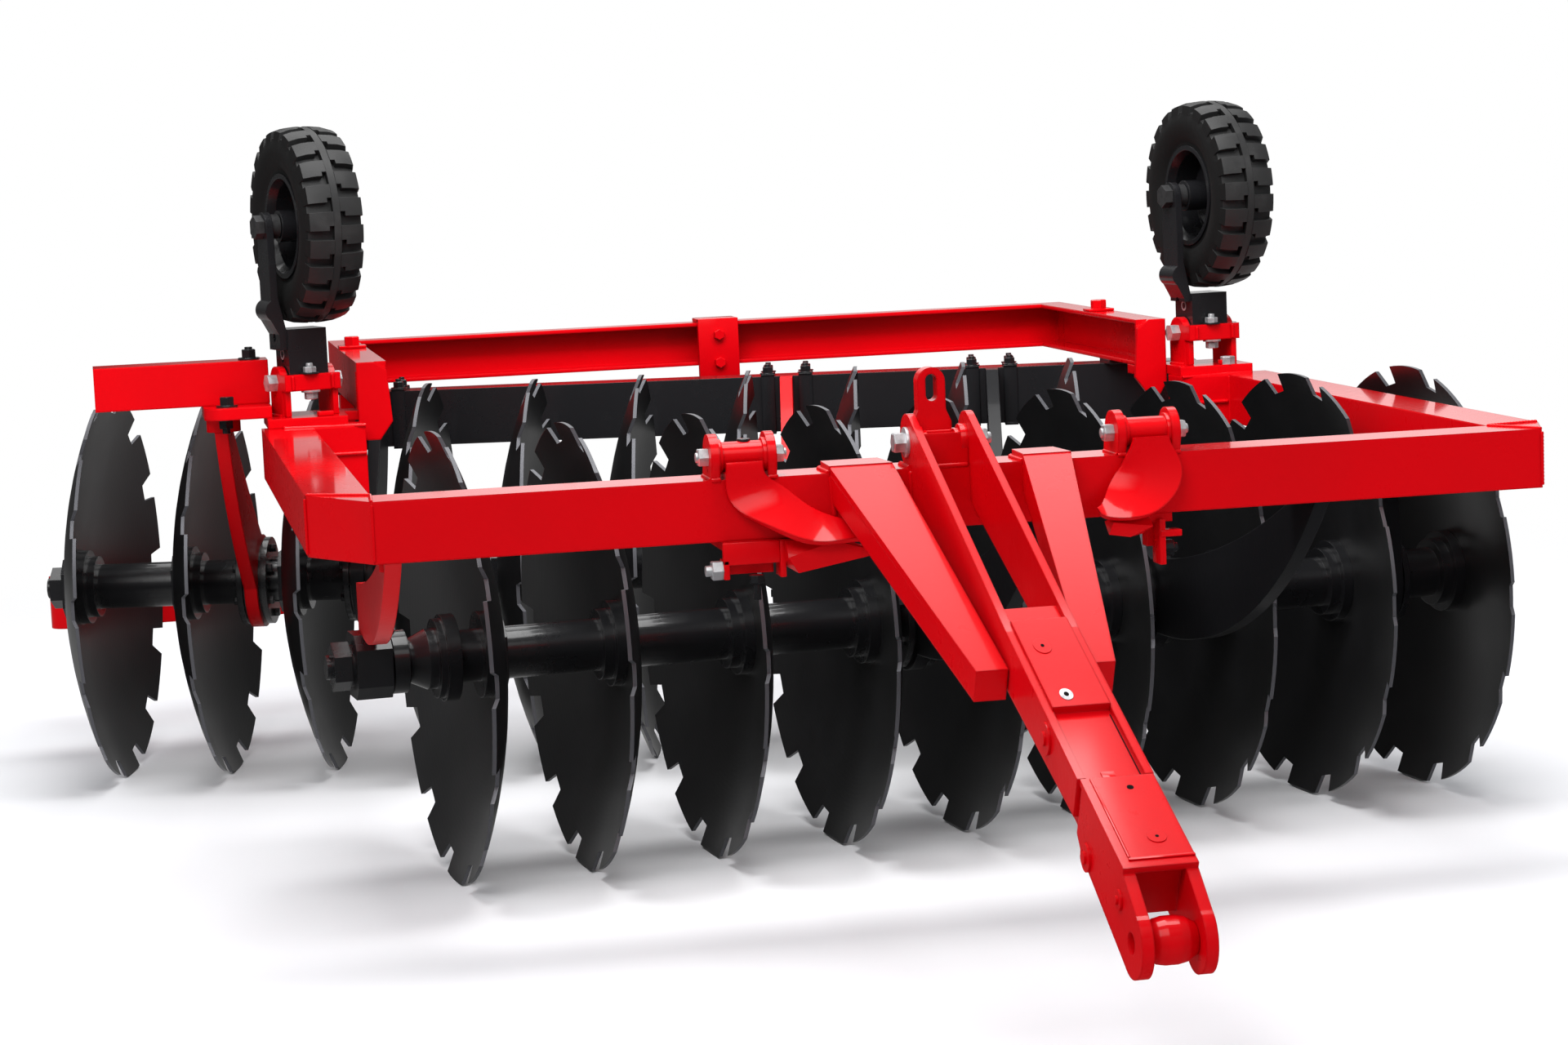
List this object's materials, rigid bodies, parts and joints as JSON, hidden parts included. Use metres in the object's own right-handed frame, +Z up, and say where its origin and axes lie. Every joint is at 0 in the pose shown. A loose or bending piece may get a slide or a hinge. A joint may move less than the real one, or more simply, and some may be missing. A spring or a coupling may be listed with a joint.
{
  "type": "disc harrow",
  "caption": "Trailed offset disc harrow: red box frame, two angled gangs of notched spherical blades, sloping drawbar with pin hitch, and two transport wheels raised on posts",
  "frame": {"origin": "on the ground, under the middle of the machine's outline seen from above", "axes": "+Z up, -Y towards the drawbar and the direction of travel, +X to the side that is on the right of the picture"},
  "size_m": [2.253, 3, 1.1069],
  "materials": {
    "red_paint": "glossy red paint",
    "black_paint": "satin black paint",
    "blade_steel": "satin black coated steel blades",
    "zinc": "plated bolts and nuts",
    "tyre": "black lugged tyre rubber"
  },
  "bodies": {
    "frame": {"front_bar": "red_paint", "side_beam_left": "red_paint", "side_beam_right": "red_paint", "box_post_left": "red_paint", "box_post_right": "red_paint", "wheel_bracket_left": "red_paint", "wheel_bracket_right": "red_paint", "rear_rail_left": "red_paint", "rear_rail_right": "red_paint", "rear_bar": "red_paint", "rear_gang_beam": "black_paint", "beam_pads": "black_paint", "rear_hangers": "black_paint", "rear_bearings": "black_paint", "outrigger_tube": "red_paint", "pivot_plate": "red_paint", "outrigger_arm": "red_paint", "rear_strap": "red_paint", "front_hangers": "black_paint", "front_bearings": "black_paint", "drawbar_cheeks": "red_paint", "drawbar_braces": "red_paint", "drawbar_box": "red_paint", "hitch_clevis": "red_paint", "hitch_bush": "red_paint", "lifting_eye": "red_paint", "deflector_mounts": "red_paint", "deflectors": "red_paint", "bar_clamps": "red_paint", "clamp_bolts": "zinc"},
    "front_gang": {"front_discs": "blade_steel", "front_spools": "black_paint", "front_axle": "black_paint"},
    "rear_gang": {"rear_discs": "blade_steel", "rear_spools": "black_paint", "rear_axle": "black_paint"},
    "left_post": {"wheel_post_left": "black_paint", "wheel_stub_left": "zinc"},
    "right_post": {"wheel_post_right": "black_paint", "wheel_stub_right": "zinc"},
    "left_wheel": {"rim_left": "black_paint", "tyre_left": "tyre"},
    "right_wheel": {"rim_right": "black_paint", "tyre_right": "tyre"}
  },
  "joints": [
    {"name": "front_gang_spin", "type": "hinge", "parent": "frame", "child": "front_gang", "pos_m": [-0.47929, -0.01068, 0.33], "axis": [0.9952, 0.0981, 0], "continuous": true},
    {"name": "rear_gang_spin", "type": "hinge", "parent": "frame", "child": "rear_gang", "pos_m": [-1.06619, 1.07509, 0.33], "axis": [0.9741, -0.2261, 0], "continuous": true},
    {"name": "left_post_slide", "type": "slide", "parent": "frame", "child": "left_post", "axis": [0, 0, 1], "range_m": [-0.02, 0.045]},
    {"name": "right_post_slide", "type": "slide", "parent": "frame", "child": "right_post", "axis": [0, 0, 1], "range_m": [-0.02, 0.045]},
    {"name": "left_wheel_spin", "type": "hinge", "parent": "left_post", "child": "left_wheel", "pos_m": [-0.66314, 0.75018, 0.946], "axis": [0.9659, 0.2588, 0], "continuous": true},
    {"name": "right_wheel_spin", "type": "hinge", "parent": "right_post", "child": "right_wheel", "pos_m": [0.89134, 0.74778, 0.926], "axis": [0.9903, 0.1392, 0], "continuous": true}
  ]
}
